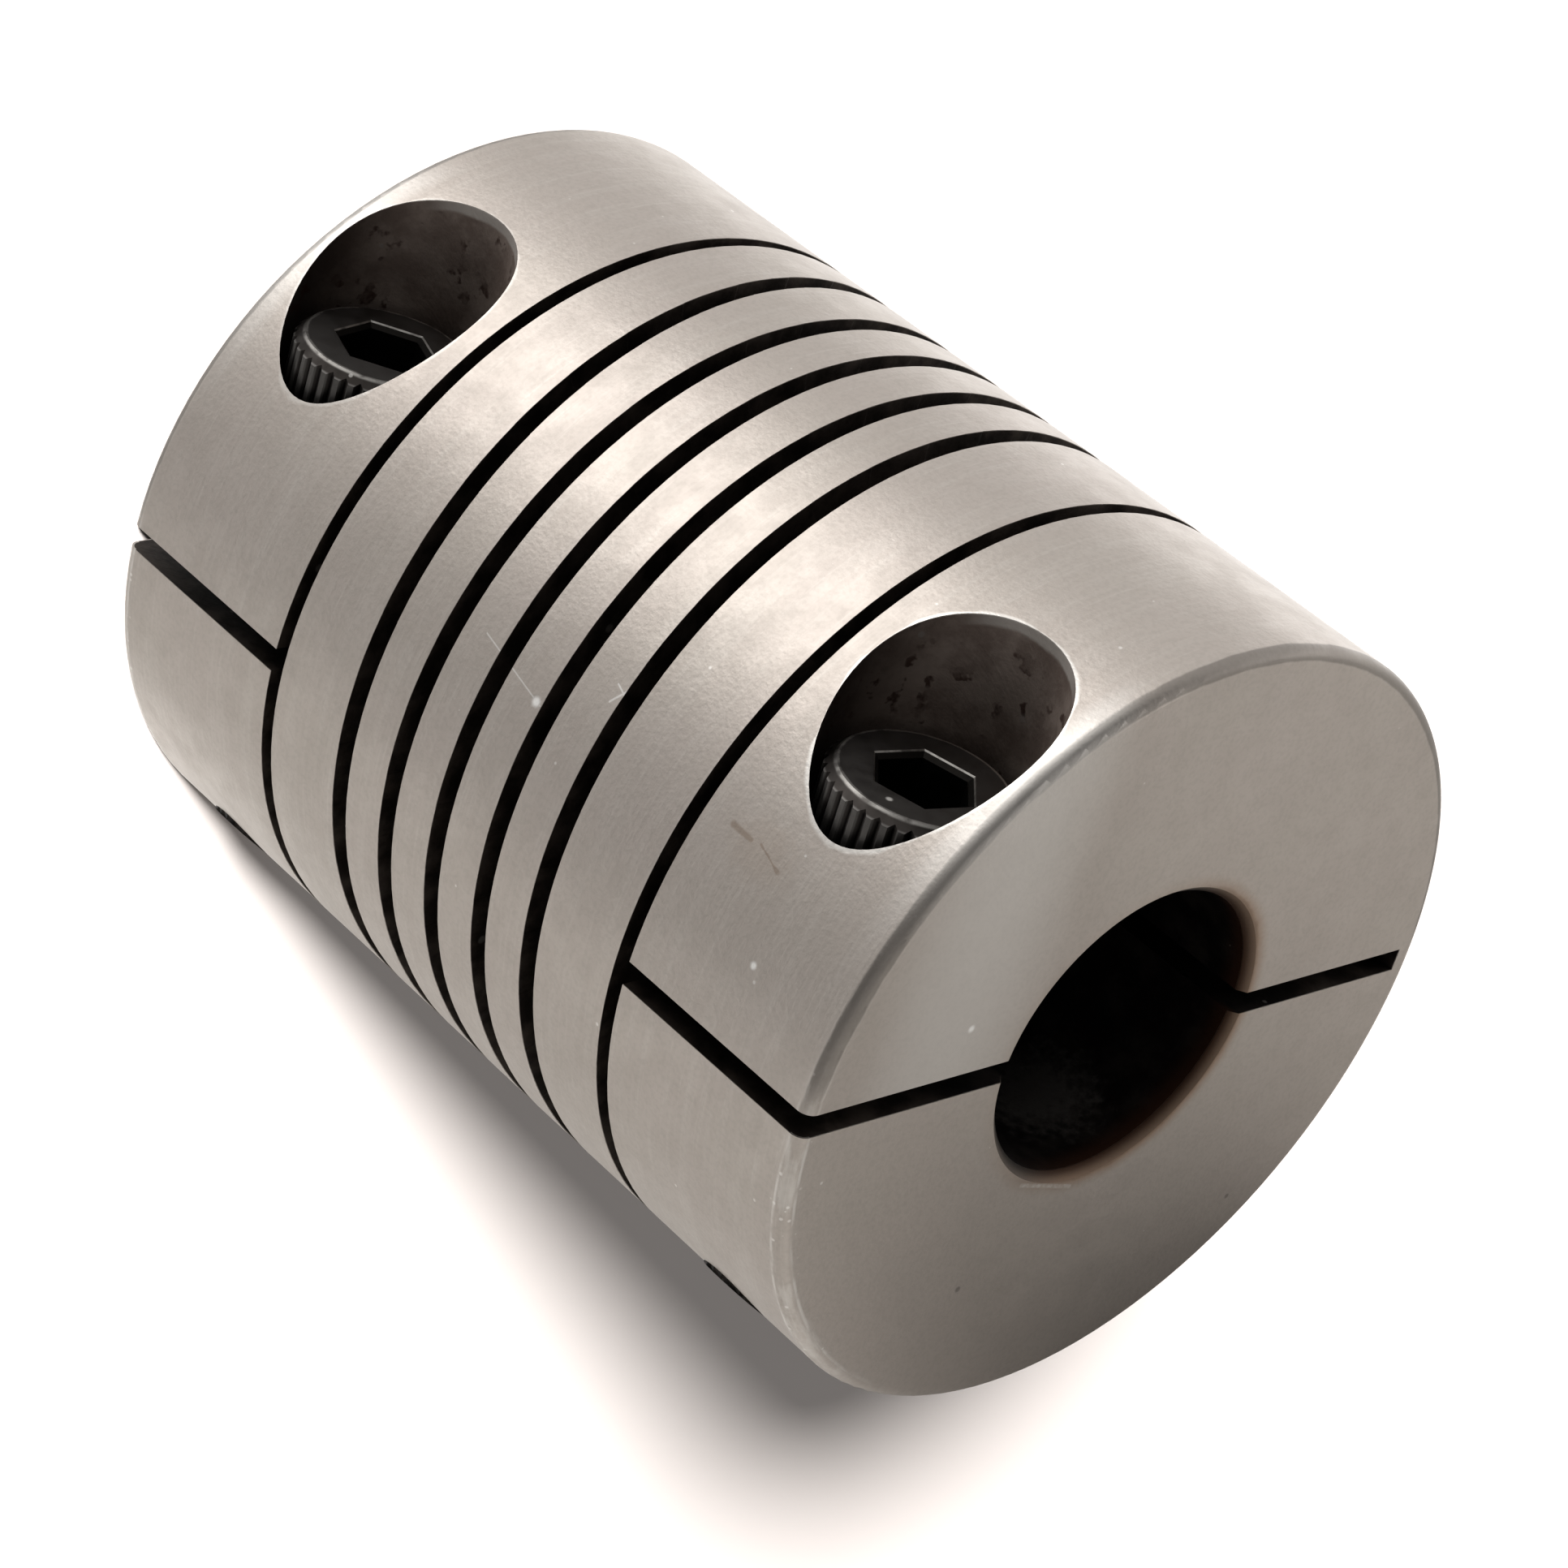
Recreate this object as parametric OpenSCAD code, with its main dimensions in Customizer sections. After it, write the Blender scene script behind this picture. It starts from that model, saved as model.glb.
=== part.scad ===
// Helical beam coupling, one piece, with an integral clamp at each end.
// The body stands on its lower end face. Its axis is Z, and the middle of that face is the origin.
// Both clamps open towards +X, and both screws go in from -Y.

/* [Body] */
// Outside diameter
body_d = 25.4; // [24.8:0.1:27]
// Length over both end faces
body_len = 31.8; // [31.4:0.1:36]
// Radius of the rounded outer edge at each end
rim_r = 0.4; // [0.2:0.05:0.5]
// Diameter of the shaft bore at each end
bore_d = 9.525; // [8:0.025:10.5]
// Edge break at the mouth of each shaft bore
bore_chamfer = 0.25; // [0.05:0.05:0.4]
// How much the bore is relieved on each side between the clamps, so that the beams clear the shafts
flexure_relief = 0.4; // [0.2:0.05:0.6]

/* [Helical slot] */
// Rise of the slot in one turn
slot_pitch = 2.25; // [2.1:0.05:2.4]
// Number of turns that the slot makes
slot_turns = 4.7; // [3.5:0.1:4.8]
// Width of the slot along the axis
slot_w = 0.68; // [0.5:0.02:0.8]
// Diameter of the hole drilled at each end of the slot
slot_end_d = 1; // [0.9:0.05:1.3]
// Extra rise over the last part turns, in mm for a turn squared
slot_steepening = 5.5; // [0:0.5:6.5]
// Turns from the middle at which the extra rise begins
slot_steady_turns = 2; // [1.9:0.05:2.2]

/* [Clamps] */
// Length of each clamp, from the end face to its relief slot
clamp_len = 7.8; // [7.5:0.05:8.2]
// Width of the relief slot that frees the clamp from the beams
relief_w = 0.5; // [0.3:0.05:0.7]
// How far past the axis the relief slot is cut
relief_past_axis = 7; // [6:0.25:8]
// Width of the clamping slit
slit_w = 0.75; // [0.5:0.05:1]
// Thickness of the web that is left as the clamp's hinge
hinge_web = 0.75; // [0.6:0.05:1.5]

/* [Clamp screws] */
// Thread diameter of the screw
screw_d = 3; // [2.5:0.1:3.1]
// Length of the screw under its head
screw_len = 12; // [10:0.5:13]
// Diameter of the screw's head
head_d = 5.5; // [5.2:0.1:5.7]
// Height of the screw's head
head_h = 3; // [2.5:0.1:3.1]
// Distance of the screw's axis from the outside of the body
screw_inset = 4.9; // [4.6:0.05:5.2]
// Distance of the screw from the end face
screw_from_end = 3.7; // [3.6:0.05:3.9]
// Distance of the head's seat from the middle of the slit
seat_height = 4.85; // [3.5:0.05:5]
// Clearance round the head in its counterbore
head_gap = 0.35; // [0.2:0.05:0.4]
// Clearance round the shank above the slit
shank_gap = 0.2; // [0.1:0.05:0.3]
// Clearance left round the thread in its tapped hole
thread_gap = 0.05; // [0.02:0.01:0.1]
// Width across the flats of the hexagon socket
socket_af = 2.5; // [2:0.1:2.6]
// Depth of the hexagon socket
socket_depth = 1.6; // [1:0.1:1.8]
// Width across the flats at the bevelled mouth of the socket
socket_mouth_af = 2.85; // [2.7:0.05:3.2]
// Number of grooves knurled round the head
knurl_count = 36; // [24:1:40]
// Depth of the knurl
knurl_depth = 0.12; // [0.05:0.01:0.2]
// Bevel on the top edge of the head
head_bevel = 0.3; // [0.15:0.05:0.45]
// Bevel on the end of the thread
point_bevel = 0.4; // [0.2:0.05:0.6]
// Turn of the lower screw where it is tight
lower_screw_turn = 10; // [0:1:59]
// Turn of the upper screw where it is tight
upper_screw_turn = 13; // [0:1:59]

/* [Hidden] */
$fn = 96;

body_r = body_d / 2;
bore_r = bore_d / 2;
flexure_bore_r = bore_r + flexure_relief;
// Length by which a cutting tool runs past the face that it cuts
overrun = 1;
// Straight steps in one turn of the helical slot
steps_per_turn = 36;
half_turns = slot_turns / 2;
slot_steps = ceil(slot_turns * steps_per_turn);
// The slot's cutter reaches from inside the bore to outside the body
slot_inner_r = bore_r / 2;
slot_outer_r = body_r + overrun;
screw_offset = body_r - screw_inset;
counterbore_r = head_d / 2 + head_gap;
shank_hole_r = screw_d / 2 + shank_gap;
tapped_hole_r = screw_d / 2 + thread_gap;
head_r = head_d / 2;
across_corners = 2 / sqrt(3);
// The punch that bevels the socket's mouth narrows at 45 degrees to well inside the hexagon
socket_punch_af = socket_af / 2;
socket_punch_depth = (socket_mouth_af - socket_punch_af) / 2;
knurl_land = 0.35;

// Half of the body's section, with the rounded rims as true arcs
module body_section() {
    difference() {
        square([body_r, body_len]);
        for (end = [0, 1])
            translate([0, end * body_len])
            mirror([0, end])
            difference() {
                translate([body_r - rim_r, 0]) square([rim_r, rim_r]);
                translate([body_r - rim_r, rim_r]) circle(r = rim_r);
            }
    }
}

// The turned blank before it is bored and slotted
module turned_blank() {
    rotate_extrude() body_section();
}

// Everything that is bored along the axis: two shaft bores and the wider bore between them
module bores() {
    translate([0, 0, -overrun]) cylinder(r = bore_r, h = body_len + 2 * overrun);
    translate([0, 0, clamp_len]) cylinder(r = flexure_bore_r, h = body_len - 2 * clamp_len);
    both_ends()
        translate([0, 0, -overrun])
        cylinder(r1 = bore_r + bore_chamfer + overrun, r2 = bore_r, h = bore_chamfer + overrun);
}

// Repeats what is drawn for the lower end at both ends, mirrored about mid length
module both_ends() {
    children();
    translate([0, 0, body_len]) mirror([0, 0, 1]) children();
}

// Height of the middle of the slot, for a number of turns counted from mid length
function slot_z(turn) =
    body_len / 2 + slot_pitch * turn
    + sign(turn) * slot_steepening * pow(max(0, abs(turn) - slot_steady_turns), 2);

// Turn reached at a step along the slot
function slot_turn(step) = -half_turns + slot_turns * step / slot_steps;

function around(radius, turn, z) = [radius * cos(360 * turn), radius * sin(360 * turn), z];

// One rectangular section of the slot's cutter: inner bottom, outer bottom, outer top, inner top
function slot_ring(turn) = [
    around(slot_inner_r, turn, slot_z(turn) - slot_w / 2),
    around(slot_outer_r, turn, slot_z(turn) - slot_w / 2),
    around(slot_outer_r, turn, slot_z(turn) + slot_w / 2),
    around(slot_inner_r, turn, slot_z(turn) + slot_w / 2)
];

// The helical cut that turns the middle of the tube into one coiled beam
module helical_slot() {
    points = [for (step = [0:slot_steps]) each slot_ring(slot_turn(step))];
    sides = [
        for (step = [0:slot_steps - 1], side = [0:3])
            let (a = 4 * step + side, b = 4 * step + (side + 1) % 4)
                each [[a, b, a + 4], [b, b + 4, a + 4]]
    ];
    last = 4 * slot_steps;
    caps = [[0, 2, 1], [0, 3, 2], [last, last + 1, last + 2], [last, last + 2, last + 3]];
    polyhedron(points, concat(sides, caps));
}

// A drilled hole that stops the slot from tearing at each end
module slot_end_holes() {
    for (turn = [-half_turns, half_turns])
        translate([0, 0, slot_z(turn)])
        rotate([0, 0, 360 * turn])
        translate([slot_inner_r, 0, 0])
        rotate([0, 90, 0])
        cylinder(d = slot_end_d, h = slot_outer_r - slot_inner_r);
}

// The saw cut across the body that frees the clamp, open towards the screw
module relief_slot() {
    translate([-relief_past_axis, -body_r - overrun, clamp_len - relief_w / 2])
    cube([relief_past_axis + body_r + overrun, 2 * (body_r + overrun), relief_w]);
}

// The slit that lets the clamp close, through the bore and on to the hinge web
module clamp_slit() {
    translate([-body_r + hinge_web, -slit_w / 2, -overrun])
    cube([2 * body_r - hinge_web + overrun, slit_w, clamp_len + overrun]);
}

// Places a screw, or its hole, with its axis across the slit and its head towards -Y
module on_screw_axis() {
    translate([screw_offset, 0, screw_from_end]) rotate([90, 0, 0]) children();
}

// Counterbore, clearance hole and tapped hole for one screw, from head side to far side
module screw_hole() {
    on_screw_axis() {
        translate([0, 0, seat_height]) cylinder(r = counterbore_r, h = body_r);
        cylinder(r = shank_hole_r, h = seat_height + overrun);
        translate([0, 0, -body_r]) cylinder(r = tapped_hole_r, h = body_r + overrun);
    }
}

// Outline of the knurled head: a groove and a land for each tooth
module knurled_outline() {
    pitch = 360 / knurl_count;
    polygon([
        for (tooth = [0:knurl_count - 1], corner = [0:2])
            let (
                angle = pitch * (tooth + [0, knurl_land, (1 + knurl_land) / 2][corner]),
                radius = corner == 2 ? head_r - knurl_depth : head_r
            )
                [radius * cos(angle), radius * sin(angle)]
    ]);
}

// A cap screw along Z, with the seat of its head at zero and the head above it
module cap_screw() {
    difference() {
        union() {
            intersection() {
                linear_extrude(head_h) knurled_outline();
                cylinder(r1 = head_r - head_bevel + head_h, r2 = head_r - head_bevel, h = head_h);
            }
            translate([0, 0, -screw_len + point_bevel]) cylinder(d = screw_d, h = screw_len - point_bevel);
            translate([0, 0, -screw_len])
            cylinder(d1 = screw_d - 2 * point_bevel, d2 = screw_d, h = point_bevel);
        }
        translate([0, 0, head_h - socket_depth])
        cylinder(d = socket_af * across_corners, h = socket_depth + overrun, $fn = 6);
        translate([0, 0, head_h - socket_punch_depth])
        cylinder(
            d1 = socket_punch_af * across_corners,
            d2 = (socket_mouth_af + 2 * overrun) * across_corners,
            h = socket_punch_depth + overrun,
            $fn = 6
        );
    }
}

module coupling_body() {
    color("#a39b93")
    difference() {
        turned_blank();
        bores();
        helical_slot();
        slot_end_holes();
        both_ends() {
            relief_slot();
            clamp_slit();
            screw_hole();
        }
    }
}

module clamp_screw(turn) {
    color("#26241f")
    on_screw_axis()
    translate([0, 0, seat_height])
    rotate([0, 0, turn])
    cap_screw();
}

module lower_clamp_screw() {
    clamp_screw(lower_screw_turn);
}

module upper_clamp_screw() {
    translate([0, 0, body_len]) mirror([0, 0, 1]) clamp_screw(upper_screw_turn);
}

coupling_body();
lower_clamp_screw();
upper_clamp_screw();
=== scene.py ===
import math
from types import SimpleNamespace

import bpy
from mathutils import Matrix, Vector


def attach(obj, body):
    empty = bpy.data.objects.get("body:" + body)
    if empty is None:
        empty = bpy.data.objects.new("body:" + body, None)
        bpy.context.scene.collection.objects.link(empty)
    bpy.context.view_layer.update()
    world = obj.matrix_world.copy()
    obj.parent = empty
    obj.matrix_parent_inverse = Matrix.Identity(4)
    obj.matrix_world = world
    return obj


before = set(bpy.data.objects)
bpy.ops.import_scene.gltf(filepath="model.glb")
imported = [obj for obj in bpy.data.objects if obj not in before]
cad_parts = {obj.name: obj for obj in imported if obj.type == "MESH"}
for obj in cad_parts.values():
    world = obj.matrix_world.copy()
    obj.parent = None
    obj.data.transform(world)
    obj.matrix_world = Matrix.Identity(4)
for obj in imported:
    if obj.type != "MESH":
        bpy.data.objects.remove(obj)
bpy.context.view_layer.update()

MM = 0.001

# Sizes of the coupling, as its solids have them
BODY_R = 12.7 * MM
BODY_LEN = 31.8 * MM
RIM_R = 0.4 * MM
BORE_R = 4.7625 * MM
MOUTH_R = 5.0125 * MM
SCREW_OFFSET = 7.8 * MM
SCREW_FROM_END = 3.7 * MM
COUNTERBORE_R = 3.1 * MM
TAPPED_HOLE_R = 1.55 * MM
SCREW_R = 1.5 * MM
HEAD_R = 2.75 * MM
HEAD_SEAT = 4.85 * MM
HEAD_TOP = 7.85 * MM
THREAD_PITCH = 0.5 * MM
THREAD_CREST_R = 1.28 * MM
# The thread ridges: half their width as a share of the pitch, how far under the turned side
# they end, and how long and how deep they sink into the wall there
THREAD_START = 7.3 * MM
THREAD_TURNS = 8.0
THREAD_HALF_WIDTH = 0.4
THREAD_END_DEPTH = 0.16 * MM
THREAD_SINK_RUN = 0.12 * MM
THREAD_SUNK_DEPTH = 0.06 * MM
SOCKET_MOUTH_R = 1.66 * MM
# Radii of the screw head's bevel that carries bare steel and a painted highlight
WORN_LIT_BEVEL = (2.38 * MM, 2.52 * MM)
HALF_LEN = 0.5 * BODY_LEN

# The photograph's camera: where it stands, and its right and down directions
CAMERA_PLACE = Vector((94.395, -66.652, 95.811)) * MM
CAMERA_RIGHT = Vector((-0.722852, -0.26606, 0.637728))
CAMERA_DOWN = Vector((0.157146, 0.835424, 0.526661))
CAMERA_LENS_MM = 107.03
CAMERA_SENSOR_MM = 36.0

# Colours of the steel's skin
SKIN = (0.507, 0.454, 0.407, 1.0)
SKIN_DRIFTED = (0.512, 0.455, 0.411, 1.0)
SKIN_MOTTLED = (0.46, 0.41, 0.366, 1.0)
SKIN_HOOPS = (0.58, 0.535, 0.485, 1.0)
SKIN_GRAIN = (0.62, 0.575, 0.525, 1.0)
SKIN_BLASTED = (0.40, 0.357, 0.318, 1.0)
# Painted dark reflection along the rounded rim
RIM_PAINTED_DARK_REFLECTION = (0.205, 0.185, 0.165, 1.0)
RUBBED_RIM = (0.70, 0.665, 0.62, 1.0)
# Rubbed wear with a painted highlight along the rim's edges
RUBBED_RIM_EDGE_HIGHLIGHT = (0.80, 0.765, 0.72, 1.0)
PALE_FLECK = (0.88, 0.85, 0.81, 1.0)
# Painted highlights: on each counterbore's burnished edge, and on the thin band of skin beside it
BURNISHED_LIP_HIGHLIGHT = (0.74, 0.705, 0.66, 1.0)
THIN_STRIP_HIGHLIGHT = (0.78, 0.75, 0.71, 1.0)
PALE_MARK = (0.95, 0.93, 0.90, 1.0)
BROWN_MARK = (0.25, 0.17, 0.115, 1.0)
BROWN_TINT = (0.43, 0.35, 0.285, 1.0)
DARK_PIT = (0.12, 0.10, 0.09, 1.0)
GLINT = (0.85, 0.82, 0.78, 1.0)

# Colours of the bore's mouth, each pair from its inner to its outer edge; the chamfer's pairs are painted
# shade, darkest at the bore, brown with staining on one side
STAIN_HALO = (0.35, 0.24, 0.165, 1.0)
STAINED_CHAMFER_SHADE = ((0.060, 0.033, 0.022, 1.0), (0.290, 0.205, 0.150, 1.0))
CLEAN_CHAMFER_SHADE = ((0.040, 0.034, 0.030, 1.0), (0.180, 0.150, 0.128, 1.0))
# Painted highlight along the outer edge of the bore's chamfer
CHAMFER_EDGE_HIGHLIGHT = (0.66, 0.63, 0.59, 1.0)

# Colours of the cut walls, each pair from dark to light; the near-black bore and slot walls are painted shade
BORE_WALL_SHADE = ((0.008, 0.006, 0.006, 1.0), (0.024, 0.019, 0.017, 1.0))
SLOT_WALL_SHADE = ((0.024, 0.018, 0.015, 1.0), (0.085, 0.067, 0.056, 1.0))
BORE_PATCH = (0.12, 0.11, 0.102, 1.0)
RUSTY_WALL = (0.045, 0.020, 0.012, 1.0)
COUNTERBORE_WALL = ((0.185, 0.142, 0.120, 1.0), (0.300, 0.245, 0.212, 1.0))
COUNTERBORE_SHADE = (0.022, 0.017, 0.015, 1.0)
COUNTERBORE_DENT = (0.045, 0.020, 0.014, 1.0)
COUNTERBORE_CRESCENT = (0.44, 0.40, 0.365, 1.0)
WALL_DUST = (0.30, 0.28, 0.26, 1.0)

# Colours of the black screws
BLACK_OXIDE = ((0.022, 0.019, 0.017, 1.0), (0.052, 0.046, 0.042, 1.0))
HEAD_FACE = (0.046, 0.042, 0.039, 1.0)
KNURL_LAND = (0.14, 0.132, 0.124, 1.0)
# Painted shade in the knurl's grooves and inside the socket
KNURL_GROOVE_SHADE = (0.012, 0.011, 0.010, 1.0)
SOCKET_SHADE = (0.010, 0.009, 0.008, 1.0)
# Bare steel with a painted highlight along the head's edges
WORN_EDGE_HIGHLIGHT = (0.30, 0.285, 0.265, 1.0)
SCREW_DUST = (0.55, 0.53, 0.50, 1.0)

# Marks on the coupling, in millimetres: start, end and width, or centre and size
PALE_SCRATCHES = (
    ((11.67, -5.02, 14.68), (11.90, -4.44, 17.63), 0.035, 0.5),
    ((11.35, -5.7, 19.6), (10.98, -6.38, 20.05), 0.05, 0.6),
    ((11.2, -5.98, 20.1), (11.1, -6.17, 19.5), 0.04, 0.6),
)
PALE_DOTS = (((12.38, -2.82, 28.2), 0.16), ((11.89, -4.46, 17.45), 0.22), ((7.11, -1.96, 31.8), 0.17))
BROWN_STREAKS = (
    ((11.52, -5.34, 25.35), (11.53, -5.33, 26.1), 0.11),
    ((11.50, -5.40, 26.45), (11.62, -5.13, 27.35), 0.10),
)
BROWN_TINT_PLACE = ((11.56, -5.26, 26.6), (1.2, 1.2, 1.6))
BORE_PATCH_PLACE = ((-1.5, 4.6, 28.5), (3.0, 1.2, 2.4))
# Where the painted highlight along the bore's chamfer runs
CHAMFER_EDGE_HIGHLIGHT_PLACE = ((2.38, 4.64, 31.8), (0.1, 5.28, 31.8), 0.10)
HEAD_GRIT_PLACE = ((9.6, -7.85, 28.59), (0.13, 0.13, 0.13))
# Direction from the axis in which the mouth of the bore is stained most
STAINED_SIDE = (-0.94, 0.342, 0.0)


# Shader and geometry nodes

def add(tree, kind, **settings):
    """A new node; settings are its own properties, such as operation."""
    node = tree.nodes.new(kind)
    for name, value in settings.items():
        setattr(node, name, value)
    return node


def feed(tree, socket, source):
    """Puts a plain value on a socket, or links another socket to it."""
    if isinstance(source, bpy.types.NodeSocket):
        tree.links.new(source, socket)
    else:
        socket.default_value = source


def calc(tree, operation, *values):
    node = add(tree, "ShaderNodeMath", operation=operation)
    for socket, value in zip(node.inputs, values):
        feed(tree, socket, value)
    return node.outputs[0]


def vector_calc(tree, operation, *values):
    node = add(tree, "ShaderNodeVectorMath", operation=operation)
    for socket, value in zip(node.inputs, values):
        feed(tree, socket, value)
    return node.outputs["Value" if operation in {"LENGTH", "DOT_PRODUCT", "DISTANCE"} else "Vector"]


def split_axes(tree, vector):
    """The X, Y and Z of a vector, as a node's outputs."""
    node = add(tree, "ShaderNodeSeparateXYZ")
    feed(tree, node.inputs[0], vector)
    return node.outputs


def join_axes(tree, *values):
    node = add(tree, "ShaderNodeCombineXYZ")
    for socket, value in zip(node.inputs, values):
        feed(tree, socket, value)
    return node.outputs[0]


def ramp(tree, value, low, high, to_low=0.0, to_high=1.0, smooth=True):
    """Maps low..high on to to_low..to_high and stops at both ends."""
    node = add(tree, "ShaderNodeMapRange", clamp=True)
    node.interpolation_type = "SMOOTHSTEP" if smooth else "LINEAR"
    for name, given in (("Value", value), ("From Min", low), ("From Max", high),
                        ("To Min", to_low), ("To Max", to_high)):
        feed(tree, node.inputs[name], given)
    return node.outputs["Result"]


def blend_colour(tree, amount, first, second):
    node = add(tree, "ShaderNodeMix", data_type="RGBA")
    feed(tree, node.inputs["Factor"], amount)
    feed(tree, node.inputs[6], first)
    feed(tree, node.inputs[7], second)
    return node.outputs[2]


def blend_value(tree, amount, first, second):
    node = add(tree, "ShaderNodeMix", data_type="FLOAT")
    feed(tree, node.inputs["Factor"], amount)
    feed(tree, node.inputs[2], first)
    feed(tree, node.inputs[3], second)
    return node.outputs[0]


def noise(tree, place, scale, detail=3.0, roughness=0.55):
    node = add(tree, "ShaderNodeTexNoise")
    feed(tree, node.inputs["Vector"], place)
    node.inputs["Scale"].default_value = scale
    node.inputs["Detail"].default_value = detail
    node.inputs["Roughness"].default_value = roughness
    return node.outputs["Fac"]


def around_half(tree, value, amount, base):
    """A base that a noise round one half moves up and down by an amount."""
    return calc(tree, "MULTIPLY_ADD", calc(tree, "SUBTRACT", value, 0.5), amount, base)


def band(tree, value, low, high, soft):
    """One between low and high, falling to zero outside them."""
    rise = ramp(tree, value, low - soft, low + soft)
    fall = ramp(tree, value, high - soft, high + soft, 1.0, 0.0)
    return calc(tree, "MULTIPLY", rise, fall)


def all_of(tree, *masks):
    result = masks[0]
    for mask in masks[1:]:
        result = calc(tree, "MULTIPLY", result, mask)
    return result


def any_of(tree, *masks):
    result = masks[0]
    for mask in masks[1:]:
        result = calc(tree, "MAXIMUM", result, mask)
    return result


def new_group(name, inputs, outputs):
    """An empty shader group with named sockets, and its input and output nodes."""
    tree = bpy.data.node_groups.new(name, "ShaderNodeTree")
    kinds = {float: "NodeSocketFloat", tuple: "NodeSocketVector"}
    for label, default in inputs.items():
        socket = tree.interface.new_socket(label, in_out="INPUT", socket_type=kinds[type(default)])
        socket.default_value = default
    for label in outputs:
        tree.interface.new_socket(label, in_out="OUTPUT", socket_type="NodeSocketFloat")
    return tree, add(tree, "NodeGroupInput").outputs, add(tree, "NodeGroupOutput").inputs


def use_group(tree, group, **values):
    node = add(tree, "ShaderNodeGroup", node_tree=group)
    for name, value in values.items():
        feed(tree, node.inputs[name.replace("_", " ")], value)
    return node.outputs


def make_turned_place():
    """Where a point is on the turned body: radius, height, and how deep it lies under the turned skin."""
    tree, given, result = new_group(
        "turned_place",
        {"Position": (0.0, 0.0, 0.0), "Body radius": BODY_R, "Body length": BODY_LEN, "Rim radius": RIM_R},
        ["Radius", "Height", "Depth", "On end face", "On rim"],
    )
    radius = vector_calc(tree, "LENGTH", vector_calc(tree, "MULTIPLY", given["Position"], (1.0, 1.0, 0.0)))
    height = split_axes(tree, given["Position"])["Z"]
    half = calc(tree, "MULTIPLY", given["Body length"], 0.5)
    from_middle = calc(tree, "ABSOLUTE", calc(tree, "SUBTRACT", height, half))
    from_end = calc(tree, "SUBTRACT", half, from_middle)
    # Both are above zero only where the rim is rounded
    past_side = calc(tree, "SUBTRACT", calc(tree, "ADD", radius, given["Rim radius"]), given["Body radius"])
    past_end = calc(tree, "SUBTRACT", given["Rim radius"], from_end)
    corner = join_axes(tree, calc(tree, "MAXIMUM", past_side, 0.0), calc(tree, "MAXIMUM", past_end, 0.0))
    outwards = vector_calc(tree, "LENGTH", corner)
    inwards = calc(tree, "MINIMUM", calc(tree, "MAXIMUM", past_side, past_end), 0.0)
    depth = calc(tree, "SUBTRACT", given["Rim radius"], calc(tree, "ADD", outwards, inwards))
    nearer = calc(tree, "MINIMUM", past_side, past_end)
    feed(tree, result["Radius"], radius)
    feed(tree, result["Height"], height)
    feed(tree, result["Depth"], depth)
    feed(tree, result["On end face"], ramp(tree, from_end, 0.01 * MM, 0.04 * MM, 1.0, 0.0))
    feed(tree, result["On rim"], calc(tree, "DIVIDE", nearer, given["Rim radius"]))
    return tree


def make_turned_grain():
    """Fine tool marks that run round the axis: along the side as hoops, and on the end faces as rings."""
    tree, given, result = new_group(
        "turned_grain",
        {"Position": (0.0, 0.0, 0.0), "Around": 260.0, "Across": 9000.0},
        ["Grain"],
    )
    radius = vector_calc(tree, "LENGTH", vector_calc(tree, "MULTIPLY", given["Position"], (1.0, 1.0, 0.0)))
    at = split_axes(tree, given["Position"])
    across = calc(tree, "ADD", at["Z"], radius)
    stretched = join_axes(tree, calc(tree, "MULTIPLY", at["X"], given["Around"]),
                          calc(tree, "MULTIPLY", at["Y"], given["Around"]),
                          calc(tree, "MULTIPLY", across, given["Across"]))
    feed(tree, result["Grain"], noise(tree, stretched, 1.0, detail=4.0, roughness=0.6))
    return tree


def make_specks():
    """Small round specks, each in a cell of its own, in only some of the cells."""
    tree, given, result = new_group(
        "specks",
        {"Position": (0.0, 0.0, 0.0), "Scale": 1200.0, "Size": 0.12, "Share": 0.1},
        ["Mask"],
    )
    cells = add(tree, "ShaderNodeTexVoronoi", feature="F1")
    feed(tree, cells.inputs["Vector"], given["Position"])
    feed(tree, cells.inputs["Scale"], given["Scale"])
    chance = add(tree, "ShaderNodeSeparateColor")
    feed(tree, chance.inputs[0], cells.outputs["Color"])
    picked = calc(tree, "LESS_THAN", chance.outputs[0], given["Share"])
    reach = calc(tree, "MULTIPLY", given["Size"], chance.outputs[1])
    spot = ramp(tree, cells.outputs["Distance"], calc(tree, "MULTIPLY", reach, 0.5), reach, 1.0, 0.0)
    feed(tree, result["Mask"], calc(tree, "MULTIPLY", picked, spot))
    return tree


def make_smudge():
    """One soft mark of a given place and size, its edge broken up by a noise."""
    tree, given, result = new_group(
        "smudge",
        {"Position": (0.0, 0.0, 0.0), "Centre": (0.0, 0.0, 0.0), "Size": (MM, MM, MM),
         "Noise": 0.5, "Raggedness": 0.5},
        ["Mask"],
    )
    away = vector_calc(tree, "SUBTRACT", given["Position"], given["Centre"])
    scaled = vector_calc(tree, "LENGTH", vector_calc(tree, "DIVIDE", away, given["Size"]))
    edge = around_half(tree, given["Noise"], given["Raggedness"], scaled)
    feed(tree, result["Mask"], ramp(tree, edge, 0.25, 1.0, 1.0, 0.0))
    return tree


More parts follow.
